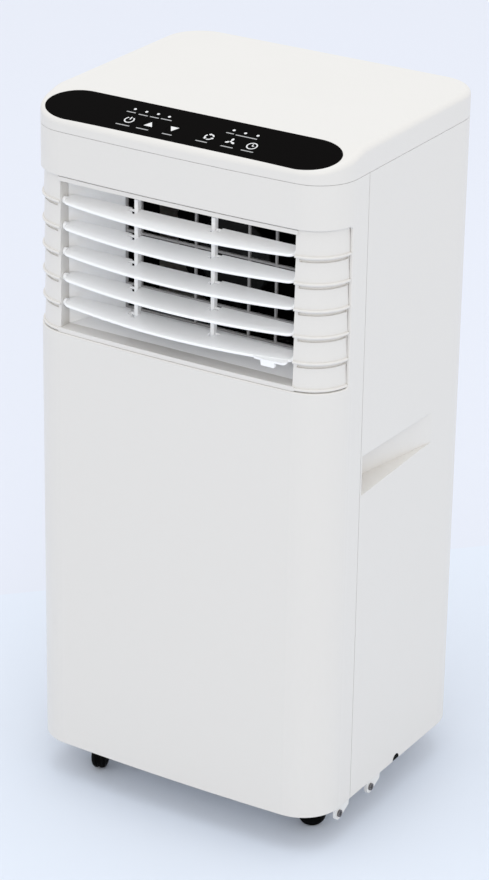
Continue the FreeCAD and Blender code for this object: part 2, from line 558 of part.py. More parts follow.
def upper_scroll():
    """Volute behind the throat: a plenum box in front, a round housing behind it."""
    y0, y1, y2 = THROAT_Y + 3.0, -22.0, 44.0
    z0, z1 = 398.0, 590.0
    plenum = box(-104, 104, y0, y1, z0, z1).cut(
        box(-102, 102, y0 + 2, y1 + 1, z0 + 2, z1 - 2))
    plenum = plenum.cut(box(*THROAT_X, y0 - 1, y0 + 4, *THROAT_Z))
    body = rod(84, V(0, y1, UPPER_FAN.z), Y, y2 - y1)
    nozzle = box(14, 84, y1, y2, UPPER_FAN.z, z1)
    body = fuse([body, nozzle])
    hollow = fuse([rod(82, V(0, y1 + 2, UPPER_FAN.z), Y, y2 - y1 - 4),
                   box(16, 82, y1 + 2, y2 - 2, UPPER_FAN.z, z1 - 2)])
    body = body.cut(hollow)
    body = body.cut(rod(44, V(0, y2 - 3, UPPER_FAN.z), Y, 6))
    body = body.cut(rod(7, V(0, y1 - 1, UPPER_FAN.z), Y, 4))
    body = body.cut(box(20, 78, y1 - 1, y1 + 3, z1 - 40, z1 - 6))
    return fuse([plenum, body])


def lower_scroll():
    """Volute with its wheel's axis across the cabinet; it blows back through the exhaust collar."""
    x0, x1 = -36.0, 36.0
    end_y = BULGE_Y - WALL - 1.0
    outer = fuse([rod(80, V(x0, LOWER_FAN.y, LOWER_FAN.z), X, x1 - x0),
                  box(x0, x1, LOWER_FAN.y, 50, LOWER_FAN.z + 2, LOWER_FAN.z + 80)])
    inner = fuse([rod(78, V(x0 + 2, LOWER_FAN.y, LOWER_FAN.z), X, x1 - x0 - 4),
                  box(x0 + 2, x1 - 2, LOWER_FAN.y, 52, LOWER_FAN.z + 4, LOWER_FAN.z + 78)])
    volute = outer.cut(inner)
    volute = volute.cut(rod(44, V(x0 - 1, LOWER_FAN.y, LOWER_FAN.z), X, 4))
    volute = volute.cut(rod(7, V(x1 - 3, LOWER_FAN.y, LOWER_FAN.z), X, 5))

    def horn(grow):
        half = x1 - 2 + grow
        z0, z1 = LOWER_FAN.z + 4 - grow, LOWER_FAN.z + 78 + grow
        small = [V(-half, 50, z0), V(half, 50, z0), V(half, 50, z1), V(-half, 50, z1)]
        big_half = 66 + grow
        big = [V(-big_half, end_y, EXHAUST_Z - big_half), V(big_half, end_y, EXHAUST_Z - big_half),
               V(big_half, end_y, EXHAUST_Z + big_half), V(-big_half, end_y, EXHAUST_Z + big_half)]
        return Part.makeLoft([Part.makePolygon(p + [p[0]]) for p in (small, big)], True, True)
    return fuse([volute, horn(2.0).cut(horn(0))])


# ---------------------------------------------------------------- refrigeration circuit
def coil(z_low, rows):
    """Fins and a serpentine tube for one heat exchanger; returns (fins, tubes)."""
    x_half, y_centre, pitch = COIL_HALF, COIL_Y, COIL_PITCH
    z_high = z_low + rows * pitch
    plate = box(-FIN_T / 2, FIN_T / 2, y_centre - 12, y_centre + 12, z_low, z_high)
    levels = [z_low + (i + 0.5) * pitch for i in range(rows)]
    plate = plate.cut(Part.makeCompound([rod(TUBE_R + 0.1, V(-2, y_centre, z), X, 4) for z in levels]))
    fins = []
    count = int(2 * x_half / FIN_PITCH)
    for i in range(count + 1):
        fin = plate.copy()
        fin.translate(V(-x_half + i * 2 * x_half / count, 0, 0))
        fins.append(fin)
    reach = x_half + 3
    tubes = [rod(TUBE_R, V(-reach, y_centre, z), X, 2 * reach) for z in levels]
    for i in range(rows - 1):
        side = 1 if i % 2 == 0 else -1
        turn = Part.makeTorus(pitch / 2, TUBE_R, V(side * reach, y_centre, levels[i] + pitch / 2), Y)
        keep = box(side * reach if side > 0 else -reach - pitch, reach + pitch if side > 0 else -reach,
                   y_centre - 10, y_centre + 10, z_low, z_high)
        tubes.append(turn.common(keep))
    return fins, fuse(tubes)


def pipe(points, radius):
    """A bent copper pipe: straight runs joined by balls at each turn."""
    pieces = []
    for i in range(len(points) - 1):
        run = points[i + 1] - points[i]
        pieces.append(rod(radius, points[i], run, run.Length))
    for point in points[1:-1]:
        pieces.append(Part.makeSphere(radius, point))
    return fuse(pieces)


def compressor():
    can = rod(COMPRESSOR_R, COMPRESSOR, Z, COMPRESSOR_H)
    can = can.makeFillet(14, [e for e in can.Edges if isinstance(e.Curve, Part.Circle)])
    flange = rod(FOOT_RADIUS + 6, COMPRESSOR + V(0, 0, 2), Z, 3)
    cap = rod(14, COMPRESSOR + V(0, 0, COMPRESSOR_H - 4), Z, 12)
    body = fuse([can, flange, cap])
    holes = [rod(3.5, foot_point(i) + V(0, 0, -5), Z, 20) for i in range(FOOT_COUNT)]
    return body.cut(Part.makeCompound(holes))


def foot_point(index):
    a = math.radians(90 + index * 360.0 / FOOT_COUNT)
    return V(COMPRESSOR.x + FOOT_RADIUS * math.cos(a), COMPRESSOR.y + FOOT_RADIUS * math.sin(a), COMPRESSOR.z)


def compressor_mounts():
    """Rubber grommets under the compressor flange, and the bolts through them."""
    grommets, bolts = [], []
    for i in range(FOOT_COUNT):
        p = foot_point(i)
        grommets.append(ring(7.0, 3.2, V(p.x, p.y, PAN_BOTTOM + 3), Z, COMPRESSOR.z + 2 - PAN_BOTTOM - 3))
        shank = rod(3.0, V(p.x, p.y, PAN_BOTTOM + 3), Z, 24)
        head = rod(5.5, V(p.x, p.y, COMPRESSOR.z + 5.2), Z, 4)
        bolts.append(fuse([shank, head]))
    return grommets, bolts


def accumulator():
    can = rod(ACCUMULATOR_R, ACCUMULATOR, Z, ACCUMULATOR_H)
    return can.makeFillet(8, [e for e in can.Edges if isinstance(e.Curve, Part.Circle)])


def discharge_pipe():
    start = COMPRESSOR + V(0, 0, COMPRESSOR_H + 8)
    high = start.z + 40
    return pipe([start, V(start.x, start.y, high), V(start.x, 58, high), V(-112, 58, high),
                 V(-112, 58, 205)], 3.2)


def suction_pipe():
    start = ACCUMULATOR + V(0, 0, ACCUMULATOR_H)
    high = start.z + 60
    return pipe([start, V(start.x, start.y, high), V(-112, start.y, high), V(-112, start.y, DECK_Z - 6)], 4.0)


def capillary_tube():
    """A thin coil of tube between the two heat exchangers."""
    coil_x, coil_y, coil_r, steps, rise = 112.0, 40.0, 6.0, 33, 1.6
    turns = [V(coil_x + coil_r * math.cos(i * math.pi / 4), coil_y + coil_r * math.sin(i * math.pi / 4),
               120 + i * rise) for i in range(steps)]
    return pipe([V(coil_x + coil_r, coil_y, 90)] + turns + [V(coil_x + coil_r, coil_y, 240)], 1.2)


def drip_tray():
    """The partition under the evaporator: a shallow tray with a drain hole."""
    z0, z1 = DECK_Z, DECK_Z + 14
    tray = prism(outline(WALL + 0.5), z0, z1).cut(prism(outline(WALL + 2.5), z0 + 2, z1 + 1))
    for side in (-1, 1):
        seam = box(side * HALF - 8, side * HALF + 8, SEAM_Y - 13, SEAM_Y + 9, z0 - 1, z1 + 1)
        tray = tray.cut(seam)
    return tray.cut(rod(5.0, V(-112, ACCUMULATOR.y, z0 - 1), Z, 5))


# ---------------------------------------------------------------- electrics
def electrical_box():
    case = box(*CASE_X, *CASE_Y, *CASE_Z)
    inside = box(CASE_X[0] + 2, CASE_X[1] - 2, CASE_Y[0] + 2, CASE_Y[1] + 1, CASE_Z[0] + 2, CASE_Z[1] - 2)
    return case.cut(inside).common(prism(outline(WALL + 1), 200, 400))


def control_board():
    y = BOARD_Y + BOARD_T
    return fuse([box(CASE_X[0] + 4, CASE_X[1] - 4, BOARD_Y, y, CASE_Z[0] + 6, CASE_Z[1] - 6),
                 box(70, 92, y, y + 20, 320, 350),
                 box(100, 118, y, y + 12, 300, 345),
                 rod(8, V(82, y, 300), Y, 18)])


def run_capacitor():
    can = rod(17.0, V(96, BOARD_Y + 22.0, CASE_Z[0] + 9), Z, 55)
    terminal = rod(5, V(96, BOARD_Y + 22.0, CASE_Z[0] + 63), Z, 8)
    return fuse([can, terminal])


# ---------------------------------------------------------------- base, casters and back fittings
def lug(y):
    """A screw lug under the right-hand side: round about its screw, sloping up behind it."""
    face = [V(0, -LUG_R, LUG_Z), V(0, LUG_R * 0.5, LUG_Z - LUG_R * 0.86), V(0, LUG_TAIL - 3, LUG_Z + 1),
            V(0, LUG_TAIL, SHELL_BOTTOM + 12), V(0, -LUG_R, SHELL_BOTTOM + 12)]
    plate = slab(face, X, LUG_T).fuse(rod(LUG_R, V(0, 0, LUG_Z), X, LUG_T))
    plate.translate(V(LUG_FACE - LUG_T, y, 0))
    return plate


def base_pan():
    z0, z1 = PAN_BOTTOM, PAN_BOTTOM + PAN_HEIGHT
    tray = prism(outline(WALL + 0.4), z0, z1).cut(prism(outline(WALL + 3.0), z0 + 3, z1 + 1))
    bosses, sockets = [], []
    for x in (-CASTER_X, CASTER_X):
        for y in (CASTER_FRONT_Y, CASTER_REAR_Y):
            bosses.append(rod(STEM_R + 5, V(x, y, z0), Z, 16))
            sockets.append(rod(STEM_R + RUN_CLEAR, V(x, y, z0 - 1), Z, STEM_TOP - z0 + 4))
    for side in (-1, 1):
        sockets.append(rod(NOTCH_FLANGE_R + 0.6, V(side * (HALF - 5) - 6, SIDE_NOTCH_Y, SHELL_BOTTOM), X, 12))
    lugs = [lug(y) for y in LUG_YS]
    lugs += [mirrored(piece) for piece in lugs]
    spout = rod(SPOUT_R, V(0, BACK_Y - WALL - 12, LOWER_DRAIN_Z), Y, 11.5)
    pan = fuse([tray, spout] + bosses + lugs)
    return pan.cut(Part.makeCompound(sockets + [rod(SPOUT_BORE_R, V(0, BACK_Y - 30, LOWER_DRAIN_Z), Y, 40)]))


def screw(position, axis):
    """A pan-head screw: head outside the face at the given point, shank behind it."""
    head = rod(SCREW_R, position, axis, SCREW_HEAD)
    reach, half = SCREW_SLOT_HALF, SCREW_SLOT_W / 2
    low, high = SCREW_HEAD / 2, SCREW_HEAD + 1
    cross = [box(-reach, reach, -half, half, low, high), box(-half, half, -reach, reach, low, high)]
    return head.cut(moved(Part.makeCompound(cross), position, FreeCAD.Rotation(Z, axis)))


def caster(name):
    """The swivelling fork of one caster: stem, plate, a web between the wheels and a short hood."""
    plate_z = PLATE_Z
    stem = rod(STEM_R, V(0, 0, plate_z), Z, STEM_TOP - plate_z)
    plate = rod(PLATE_R, V(0, 0, plate_z), Z, 4.5)
    web_half = WHEEL_INSIDE - 0.3
    web = box(-6, CASTER_TRAIL + 2.5, -web_half, web_half, WHEEL_R, plate_z + 1)
    web = web.makeFillet(3.0, parallel_edges(web, Y))
    centre = V(CASTER_TRAIL, -web_half, WHEEL_R)
    disc = rod(WHEEL_R - 0.8, centre, Y, 2 * web_half)
    across = WHEEL_INSIDE + WHEEL_T
    hood = ring(WHEEL_R + 2.6, WHEEL_R + 0.9, V(CASTER_TRAIL, -across, WHEEL_R), Y, 2 * across)
    hood = hood.common(box(-9, CASTER_TRAIL + 7, -across, across, WHEEL_R + 5, plate_z + 2))
    axle = rod(AXLE_R, V(CASTER_TRAIL, -across - 0.2, WHEEL_R), Y, 2 * across + 0.4)
    return at_caster(fuse([stem, plate, web, disc, hood, axle]), name)


def at_caster(shape, name):
    """Carry a shape drawn about the swivel axis to one corner of the base."""
    x = CASTER_X if name.endswith("right") else -CASTER_X
    y = CASTER_FRONT_Y if name.startswith("front") else CASTER_REAR_Y
    return moved(shape, V(x, y, 0), FreeCAD.Rotation(Z, CASTER_ANGLES[name]))


def caster_wheel(name):
    """Two crowned wheel discs, one on each end of the axle."""
    discs = []
    for side in (1, -1):
        start = V(CASTER_TRAIL, side * WHEEL_INSIDE, WHEEL_R)
        disc = rod(WHEEL_R, start, Y * side, WHEEL_T)
        for radius, y in ((WHEEL_CROWN_R, side * (WHEEL_INSIDE + WHEEL_T)), (WHEEL_INNER_R, start.y)):
            disc = disc.makeFillet(radius, [e for e in disc.Edges if isinstance(e.Curve, Part.Circle)
                                            and e.Curve.Radius > WHEEL_R - 0.1
                                            and abs(e.Curve.Center.y - y) < 0.1])
        disc = disc.cut(rod(AXLE_R + RUN_CLEAR, start - Y * side, Y * side, WHEEL_T + 2))
        discs.append(at_caster(disc, name))
    return discs


def intake_grille(z0, z1):
    """A framed grille of level slats with three upright ribs."""
    gap, border, slat_pitch, slat_half, rib_half = 0.5, 7.0, 8.0, 1.1, 1.2
    y0, y1 = BULGE_Y - 7.0, BULGE_Y
    x = GRILLE_HALF - gap
    frame = box(-x, x, y0, y1, z0 + gap, z1 - gap)
    frame = frame.cut(box(-x + border, x - border, y0 - 1, y1 + 1, z0 + gap + border, z1 - gap - border))
    slats = []
    space = z1 - z0 - 2 * (gap + border)
    count = int(space / slat_pitch)
    for i in range(1, count):
        z = z0 + gap + border + i * space / count
        slats.append(box(-x + 1, x - 1, y1 - 5, y1 - 1, z - slat_half, z + slat_half))
    ribs = [box(c - rib_half, c + rib_half, y0 + 1, y1 - 1.2, z0 + 3, z1 - 3) for c in (-46, 0, 46)]
    return fuse([frame] + slats + ribs)


def air_filter(z0, z1):
    """A thin framed mesh that clips behind the upper grille."""
    y1 = BULGE_Y - 7.4
    x, border = GRILLE_HALF - 2, 5.0
    frame = box(-x, x, y1 - 2.4, y1, z0 + 2, z1 - 2)
    frame = frame.cut(box(-x + border, x - border, y1 - 3, y1 + 1, z0 + 2 + border, z1 - 2 - border))
    mesh = box(-x + 1, x - 1, y1 - 1.5, y1 - 0.9, z0 + 3, z1 - 3)
    bars = [box(c - 1, c + 1, y1 - 2.4, y1, z0 + 4, z1 - 4) for c in (-50, 0, 50)]
    return fuse([frame, mesh] + bars)


def exhaust_collar():
    tube = ring(EXHAUST_R + EXHAUST_WALL, EXHAUST_R, V(0, BULGE_Y, EXHAUST_Z), Y, COLLAR_END_Y - BULGE_Y)
    flange = ring(EXHAUST_R + 13, EXHAUST_R, V(0, BULGE_Y + 0.2, EXHAUST_Z), Y, 3.0)
    flange = flange.makeFillet(1.2, [e for e in flange.Edges if isinstance(e.Curve, Part.Circle)
                                     and e.Curve.Radius > EXHAUST_R + 12 and e.BoundBox.YMin > BULGE_Y + 2])
    return fuse([tube, flange])


def drain_plug(x, y, z, outer):
    """A rubber bung: a flanged cap outside and a tapered stopper inside its spout."""
    cap = rod(outer, V(x, y + 0.4, z), Y, 5.0)
    cap = cap.makeFillet(1.5, [e for e in cap.Edges if isinstance(e.Curve, Part.Circle)
                               and e.BoundBox.YMin > y + 4])
    stopper = rod(SPOUT_BORE_R - 0.4, V(x, y - 10, z), Y, 11)
    return fuse([cap, stopper])


def side_plugs():
    """The half-round rubber plugs that close the notches in the casing's lower edges."""
    inner_x, wall_x, face_x = HALF - WALL - 2.8, HALF - WALL, HALF - 0.3
    flange = rod(NOTCH_FLANGE_R, V(inner_x, SIDE_NOTCH_Y, SHELL_BOTTOM), X, wall_x - inner_x)
    shank = rod(SIDE_NOTCH_R - RUN_CLEAR, V(inner_x, SIDE_NOTCH_Y, SHELL_BOTTOM), X, face_x - inner_x)
    below = box(0, HALF, SIDE_NOTCH_Y - 20, SIDE_NOTCH_Y + 20, 0, SHELL_BOTTOM)
    plug = fuse([flange, shank]).cut(below)
    return [plug, mirrored(plug)]


def cord_gland():
    at = V(-SERVICE_X, BULGE_Y, SERVICE_Z)
    return fuse([ring(12.0, 4.2, at, Y, 3.0), ring(SPOUT_R - 0.3, 4.2, at - Y * 9, Y, 9.5)])


def case_screws():
    """The screws in the base lugs and around the back."""
    screws = []
    for lug_y in LUG_YS:
        for side in (-1, 1):
            screws.append(screw(V(side * LUG_FACE, lug_y, LUG_Z), X * side))
    for screw_x in (-107, 107):
        for screw_z in (90, 190, 420, 560):
            screws.append(screw(V(screw_x, BULGE_Y, screw_z), Y))
    return screws


# ---------------------------------------------------------------- build everything
os.makedirs("parts", exist_ok=True)

save("front_panel", front_panel())
save("rear_housing", rear_housing())
save("top_cover", top_cover())
save("control_panel", control_panel())
for label, button_x in BUTTON_X.items():
    save(label + "_button", button(button_x))
save("display_board", display_board())

save("grille_frame", grille_frame())
for number in range(LOUVRE_COUNT):
    save("louvre_" + str(number + 1), louvre(number))
save("link_bar_left", link_bar(LINK_X[0]))
save("link_bar_right", link_bar(LINK_X[1]))
save("outlet_duct", outlet_duct())
save("outlet_guard", outlet_guard())

save("upper_scroll", upper_scroll())
save("upper_blower_wheel", blower_wheel(UPPER_WHEEL_R, UPPER_WHEEL_W, UPPER_FAN, Y, 40))
upper_foot = box(-MOTOR_FOOT_HALF, MOTOR_FOOT_HALF, UPPER_MOTOR_Y - 34, UPPER_MOTOR_Y - 4,
                 DECK_Z + 22, UPPER_FAN.z - 20)
save("upper_fan_motor", fan_motor(V(0, UPPER_MOTOR_Y, UPPER_FAN.z), Y * -1, UPPER_MOTOR_L, upper_foot))
save("lower_scroll", lower_scroll())
save("lower_blower_wheel", blower_wheel(LOWER_WHEEL_R, LOWER_WHEEL_W, LOWER_FAN, X * -1, 50))
lower_foot = box(LOWER_MOTOR_X + 8, LOWER_MOTOR_X + 38, LOWER_FAN.y - MOTOR_FOOT_HALF,
                 LOWER_FAN.y + MOTOR_FOOT_HALF, PAN_BOTTOM + 3, LOWER_FAN.z - 20)
save("lower_fan_motor", fan_motor(V(LOWER_MOTOR_X, LOWER_FAN.y, LOWER_FAN.z), X, LOWER_MOTOR_L, lower_foot))

evaporator_fins, evaporator_tubes = coil(402.0, 8)
save("evaporator_fins", *evaporator_fins)
save("evaporator_tubes", evaporator_tubes)
condenser_fins, condenser_tubes = coil(64.0, 6)
save("condenser_fins", *condenser_fins)
save("condenser_tubes", condenser_tubes)
save("compressor", compressor())
compressor_grommets, compressor_bolts = compressor_mounts()
save("compressor_grommets", *compressor_grommets)
save("compressor_bolts", *compressor_bolts)
save("accumulator", accumulator())
save("discharge_pipe", discharge_pipe())
save("suction_pipe", suction_pipe())
save("capillary_tube", capillary_tube())
save("drip_tray", drip_tray())
save("electrical_box", electrical_box())
save("control_board", control_board())
save("run_capacitor", run_capacitor())

save("base_pan", base_pan())
save("exhaust_collar", exhaust_collar())
save("upper_intake_grille", intake_grille(*UPPER_GRILLE_Z))
save("air_filter", air_filter(*UPPER_GRILLE_Z))
save("lower_intake_grille", intake_grille(*LOWER_GRILLE_Z))
save("side_plugs", *side_plugs())
save("upper_drain_plug", drain_plug(SERVICE_X, BULGE_Y, SERVICE_Z, 11.0))
save("lower_drain_plug", drain_plug(0, BACK_Y, LOWER_DRAIN_Z, 12.0))
save("cord_gland", cord_gland())
for corner in CASTER_ANGLES:
    save("caster_fork_" + corner, caster(corner))
    save("caster_wheel_" + corner, *caster_wheel(corner))
save("case_screws", *case_screws())
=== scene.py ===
import json
import math

import bmesh
import bpy
from mathutils import Matrix, Vector


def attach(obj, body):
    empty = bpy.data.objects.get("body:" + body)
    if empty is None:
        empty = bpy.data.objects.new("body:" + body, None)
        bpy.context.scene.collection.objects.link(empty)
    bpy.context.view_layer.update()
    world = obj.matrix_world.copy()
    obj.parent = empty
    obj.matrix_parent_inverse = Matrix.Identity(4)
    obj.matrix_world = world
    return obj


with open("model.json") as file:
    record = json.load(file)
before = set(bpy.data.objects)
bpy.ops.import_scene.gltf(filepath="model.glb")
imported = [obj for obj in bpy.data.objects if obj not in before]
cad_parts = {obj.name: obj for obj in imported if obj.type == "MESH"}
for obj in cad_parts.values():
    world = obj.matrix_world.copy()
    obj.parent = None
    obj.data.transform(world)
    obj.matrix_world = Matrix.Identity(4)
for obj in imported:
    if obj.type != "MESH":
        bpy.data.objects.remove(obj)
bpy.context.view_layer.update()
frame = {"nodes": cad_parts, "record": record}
nodes = frame["nodes"]
MM = 0.001


# ---------------------------------------------------------------- camera and picture
CAMERA_TARGET = Vector((0.0, -0.0321, 0.3328))
CAMERA_DISTANCE = 2.6776
CAMERA_YAW = 31.40          # degrees, from straight ahead towards the right-hand side
CAMERA_PITCH = 23.565       # degrees above level
CAMERA_ROLL = 0.987
SENSOR = 36.0
FOCAL_OVER_FRAME_HEIGHT = 3.5735
PRINCIPAL_SHIFT = (-0.0091, -0.0318)
CLIP_END = 50.0


def add_camera():
    yaw, pitch, roll = (math.radians(a) for a in (CAMERA_YAW, CAMERA_PITCH, CAMERA_ROLL))
    ahead = Vector((math.sin(yaw), -math.cos(yaw), 0.0))
    back = math.cos(pitch) * ahead + Vector((0.0, 0.0, math.sin(pitch)))
    level = Vector((math.cos(yaw), math.sin(yaw), 0.0))
    up = back.cross(level)
    right = math.cos(roll) * level + math.sin(roll) * up
    top = -math.sin(roll) * level + math.cos(roll) * up
    data = bpy.data.cameras.new("camera")
    data.sensor_width = SENSOR
    data.lens = FOCAL_OVER_FRAME_HEIGHT * SENSOR
    data.shift_x, data.shift_y = PRINCIPAL_SHIFT
    data.clip_end = CLIP_END
    camera = bpy.data.objects.new("camera", data)
    turn = Matrix((right, top, back)).transposed().to_4x4()
    camera.matrix_world = Matrix.Translation(CAMERA_TARGET + CAMERA_DISTANCE * back) @ turn
    bpy.context.scene.collection.objects.link(camera)
    bpy.context.scene.camera = camera


add_camera()
bpy.context.scene.view_settings.view_transform = "Standard"


# ---------------------------------------------------------------- materials
GRAIN_SCALE, GRAIN_STRENGTH, GRAIN_DEPTH = 2600.0, 0.06, 0.00005    # the skin of moulded plastic
GLOSS_SCALE, GLOSS_LESS, GLOSS_MORE = 14.0, 0.04, 0.05
NOISE_LOW, NOISE_HIGH = 0.3, 0.7                # the part of a noise's range that is used
EDGE_SAMPLES = 4


class Finish:
    """A Principled material whose normal runs through rounded edges and fine grain."""

    def __init__(self, name, colour, rough, specular=0.5, metallic=0.0, edge=0.0):
        self.mat = bpy.data.materials.new(name)
        self.mat.use_nodes = True
        self.tree = self.mat.node_tree
        self.shader = self.tree.nodes["Principled BSDF"]
        self.set("Base Color", (*colour, 1.0))
        self.set("Roughness", rough)
        self.set("Specular IOR Level", specular)
        self.set("Metallic", metallic)
        self.normal = None
        if edge:
            bevel = self.tree.nodes.new("ShaderNodeBevel")
            bevel.samples = EDGE_SAMPLES
            bevel.inputs["Radius"].default_value = edge
            self.normal = bevel.outputs["Normal"]
            self.link(self.normal, "Normal")

    def set(self, socket, value):
        self.shader.inputs[socket].default_value = value

    def link(self, output, socket):
        self.tree.links.new(output, self.shader.inputs[socket])

    def noise(self, scale, detail):
        node = self.tree.nodes.new("ShaderNodeTexNoise")
        node.inputs["Scale"].default_value = scale
        node.inputs["Detail"].default_value = detail
        coords = self.tree.nodes.new("ShaderNodeTexCoord")
        self.tree.links.new(coords.outputs["Object"], node.inputs["Vector"])
        return node.outputs["Fac"]

    def bump(self, height, strength, distance):
        node = self.tree.nodes.new("ShaderNodeBump")
        node.inputs["Strength"].default_value = strength
        node.inputs["Distance"].default_value = distance
        self.tree.links.new(height, node.inputs["Height"])
        if self.normal:
            self.tree.links.new(self.normal, node.inputs["Normal"])
        self.normal = node.outputs["Normal"]
        self.link(self.normal, "Normal")

    def spread_roughness(self, source, low, high):
        node = self.tree.nodes.new("ShaderNodeMapRange")
        node.inputs["From Min"].default_value = NOISE_LOW
        node.inputs["From Max"].default_value = NOISE_HIGH
        node.inputs["To Min"].default_value = low
        node.inputs["To Max"].default_value = high
        self.tree.links.new(source, node.inputs["Value"])
        self.link(node.outputs["Result"], "Roughness")


def plastic(name, colour, rough=0.32, specular=0.5, edge=0.0004):
    """Moulded plastic: fine grain, and gloss that differs a little from place to place."""
    finish = Finish(name, colour, rough, specular, edge=edge)
    finish.bump(finish.noise(GRAIN_SCALE, 1.0), GRAIN_STRENGTH, GRAIN_DEPTH)
    finish.spread_roughness(finish.noise(GLOSS_SCALE, 3.0), rough - GLOSS_LESS, rough + GLOSS_MORE)
    return finish


def grey(level):
    return (level, level, level)


WHITE = (0.754, 0.733, 0.704)
GLOSS_BLACK = (0.0030, 0.0026, 0.0025)
FINISHES = {
    "casing_white": plastic("casing_white", WHITE),
    "grille_white": plastic("grille_white", WHITE, edge=0.0003),
    # louvre_white is lighter than the casing's white: painted light that stands in for more light reaching
    # the blades inside the outlet
    "louvre_white": plastic("louvre_white", (0.96, 0.963, 0.967), edge=0.0003),
    "panel_black": Finish("panel_black", GLOSS_BLACK, 0.16, specular=0.006),
    "button_black": Finish("button_black", GLOSS_BLACK, 0.16, specular=0.006),
    "circuit_board": Finish("circuit_board", (0.01, 0.10, 0.035), 0.4),
    # duct_white is lighter than the casing's white: painted light that stands in for more light reaching
    # the inside of the outlet
    "duct_white": plastic("duct_white", (0.96, 0.96, 0.963), 0.45),
    "guard_grey": plastic("guard_grey", (0.33, 0.32, 0.315), 0.5),
    "inner_black": plastic("inner_black", grey(0.003), 0.7, specular=0.1),
    "blower_grey": plastic("blower_grey", grey(0.004), 0.6, specular=0.1),
    "motor_steel": Finish("motor_steel", (0.55, 0.55, 0.56), 0.38, metallic=1.0, edge=0.0004),
    "fin_aluminium": Finish("fin_aluminium", (0.78, 0.79, 0.80), 0.3, metallic=1.0),
    "copper": Finish("copper", (0.72, 0.36, 0.20), 0.28, metallic=1.0),
    "compressor_black": Finish("compressor_black", grey(0.004), 0.45, specular=0.15, edge=0.0004),
    "black_rubber": plastic("black_rubber", grey(0.004), 0.75, specular=0.1),
    "screw_steel": Finish("screw_steel", (0.20, 0.19, 0.19), 0.34, metallic=1.0, edge=0.0002),
    "tray_white": plastic("tray_white", (0.80, 0.795, 0.78), 0.4),
    "capacitor_aluminium": Finish("capacitor_aluminium", (0.75, 0.75, 0.76), 0.3, metallic=1.0),
    "rear_white": plastic("rear_white", WHITE, 0.36),
    "filter_mesh": plastic("filter_mesh", (0.02, 0.02, 0.022), 0.7),
    "gland_black": plastic("gland_black", grey(0.012), 0.5),
    "caster_black": plastic("caster_black", grey(0.002), 0.5, specular=0.05),
    "wheel_black": plastic("wheel_black", grey(0.002), 0.5, specular=0.05),
}
INK = Finish("panel_print", grey(0.80), 0.5, specular=0.2)
DIM_INK = Finish("panel_small_print", grey(0.42), 0.5, specular=0.2)
slot_of = {part["node"]: part["material_slot"] for part in frame["record"]["subparts"]}
for name, obj in nodes.items():
    obj.data.materials.clear()
    obj.data.materials.append(FINISHES[slot_of[name]].mat)


# ---------------------------------------------------------------- prints on the control panel
# The panel's own plane: a runs to the right, b up the slope, both in millimetres from its centre.
SLOPE = math.radians(14.25)
PANEL_CENTRE = Vector((0.0, -133.4, 613.93))
PANEL = Matrix.Translation(PANEL_CENTRE * MM) @ Matrix.Rotation(SLOPE, 4, "X") @ Matrix.Scale(MM, 4)
PRINT_LOW, PRINT_TOP = -0.02, 0.05
BUTTON_ROW = -5.6
BUTTONS = {"power": -54.6, "up": -35.0, "down": -13.0, "mode": 20.9, "fan": 41.0, "timer": 60.5}

RING_R, RING_WIDTH, RING_FROM, RING_TO = 3.9, 1.1, 125, 415     # power: an open ring and a bar
STEM_HALF, STEM_LOW, STEM_TOP = 0.55, 0.6, 4.4
ARROW_HALF, ARROW_RISE = 4.0, 3.2                               # up and down: triangles
CYCLE_R, CYCLE_WIDTH, CYCLE_SWEEP, CYCLE_HEAD = 3.6, 1.3, 75, 1.5
HEAD_LENGTH = 1.3                                               # in head sizes
FAN_HUB_R, FAN_REACH, FAN_LONG, FAN_WIDE = 0.9, 2.9, 1.8, 1.1
CLOCK_R, CLOCK_WIDTH, HAND_WIDTH, HAND_UP, HAND_RIGHT = 4.2, 1.0, 0.8, 2.6, 1.9

LAMP_R = 1.25
LAMPS = [(-59.1, 10.3), (-47.9, 9.9), (-36.9, 10.2), (-26.1, 9.7), (34.5, 10.0), (45.6, 9.3), (56.9, 9.5)]
LEGEND_HALF = 0.55
LEGENDS = [                                                     # left end, right end, place up the slope
    (-62.2, -49.3, -14.1), (-42.8, -31.4, -14.0), (-18.1, -9.0, -14.1),
    (13.1, 23.7, -13.7), (36.4, 47.5, -13.6), (55.0, 66.2, -13.5),
    (-64.0, -55.6, 5.2), (-52.2, -43.5, 4.5), (-41.4, -33.1, 4.6), (-31.3, -21.2, 5.0),
    (30.2, 37.3, 5.0), (39.4, 59.0, 4.5),
]


def full_turn(count):
    return [2 * math.pi * i / count for i in range(count)]


def disc(ca, cb, radius, count):
    return [(ca + radius * math.cos(t), cb + radius * math.sin(t)) for t in full_turn(count)]


def bar(a0, a1, b0, b1):
    return [(a0, b0), (a1, b0), (a1, b1), (a0, b1)]


def stroke(start, end, width):
    """A straight line of a given width."""
    start, end = Vector(start), Vector(end)
    across = (end - start).orthogonal().normalized() * width / 2
    return [tuple(p) for p in (start + across, start - across, end - across, end + across)]


def arc(ca, cb, radius, width, first, last, count=40):
    """Quads along a circular stroke between two angles in degrees."""
    quads = []
    inner, outer = radius - width / 2, radius + width / 2
    for i in range(count):
        angles = [math.radians(first + (last - first) * k / count) for k in (i, i + 1)]
        (c0, s0), (c1, s1) = [(math.cos(t), math.sin(t)) for t in angles]
        quads.append([(ca + inner * c0, cb + inner * s0), (ca + outer * c0, cb + outer * s0),
                      (ca + outer * c1, cb + outer * s1), (ca + inner * c1, cb + inner * s1)])
    return quads


def arrow_head(ca, cb, radius, at, size):
    """A triangle on a circle, pointing the way the angle grows."""
    t = math.radians(at)
    out, ahead = Vector((math.cos(t), math.sin(t))), Vector((-math.sin(t), math.cos(t)))
    middle = Vector((ca, cb)) + out * radius
    corners = (middle + out * size, middle + ahead * size * HEAD_LENGTH, middle - out * size)
    return [tuple(corner) for corner in corners]


